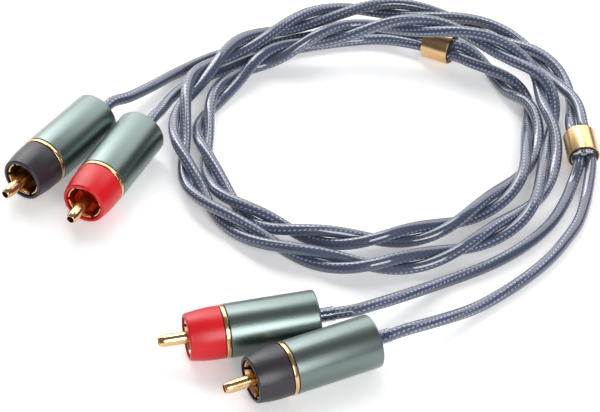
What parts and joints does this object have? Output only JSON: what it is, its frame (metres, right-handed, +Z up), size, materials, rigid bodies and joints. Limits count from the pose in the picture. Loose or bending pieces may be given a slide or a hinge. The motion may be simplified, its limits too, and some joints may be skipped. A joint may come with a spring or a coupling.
{
  "type": "stereo audio cable",
  "caption": "Stereo phono cable lying in loose loops: braided strands twisted into a pair between gold splitter rings, with red and black plugs at each end.",
  "frame": {"origin": "on the surface that the cable lies on, under the middle of the box of its plugs and splitter rings", "axes": "+Z up; +X towards the side with the splitter of end B, away from the plugs of end A; -Y towards the plugs of end B"},
  "size_m": [0.1621, 0.1685, 0.016],
  "materials": {
    "gold": "gold plated, polished",
    "barrel": "satin anodised, grey-green",
    "boot_red": "moulded, soft gloss",
    "boot_black": "moulded, soft gloss",
    "insulator_red": "moulded",
    "insulator_black": "moulded",
    "clear_sleeve": "clear heat-shrink",
    "stripped_end": "insulation and conductor",
    "dark_sleeve": "dark heat-shrink",
    "glue": "clear glue",
    "braid": "slate braid with white dashes under a clear jacket"
  },
  "bodies": {
    "root": {"a_black_centre_pin": "gold", "a_black_insulator": "insulator_black", "a_black_ground_shell": "gold", "a_black_ground_tab": "gold", "a_black_boot": "boot_black", "a_black_trim_ring": "gold", "a_black_barrel": "barrel", "a_black_strain_sleeve": "clear_sleeve", "a_black_stripped_end": "stripped_end", "a_black_strand": "braid", "a_red_centre_pin": "gold", "a_red_insulator": "insulator_red", "a_red_ground_shell": "gold", "a_red_ground_tab": "gold", "a_red_boot": "boot_red", "a_red_trim_ring": "gold", "a_red_barrel": "barrel", "a_red_strain_sleeve": "clear_sleeve", "a_red_stripped_end": "stripped_end", "a_red_strand": "braid", "b_red_centre_pin": "gold", "b_red_insulator": "insulator_red", "b_red_ground_shell": "gold", "b_red_ground_tab": "gold", "b_red_boot": "boot_red", "b_red_trim_ring": "gold", "b_red_barrel": "barrel", "b_red_strain_sleeve": "clear_sleeve", "b_red_stripped_end": "stripped_end", "b_red_strand": "braid", "b_black_centre_pin": "gold", "b_black_insulator": "insulator_black", "b_black_ground_shell": "gold", "b_black_ground_tab": "gold", "b_black_boot": "boot_black", "b_black_trim_ring": "gold", "b_black_barrel": "barrel", "b_black_strain_sleeve": "clear_sleeve", "b_black_stripped_end": "stripped_end", "b_black_strand": "braid", "splitter_a_ring": "gold", "splitter_a_heat_shrink": "dark_sleeve", "splitter_a_glue": "glue", "splitter_b_ring": "gold", "splitter_b_heat_shrink": "dark_sleeve", "splitter_b_glue": "glue", "twisted_pair": "braid"}
  },
  "joints": []
}
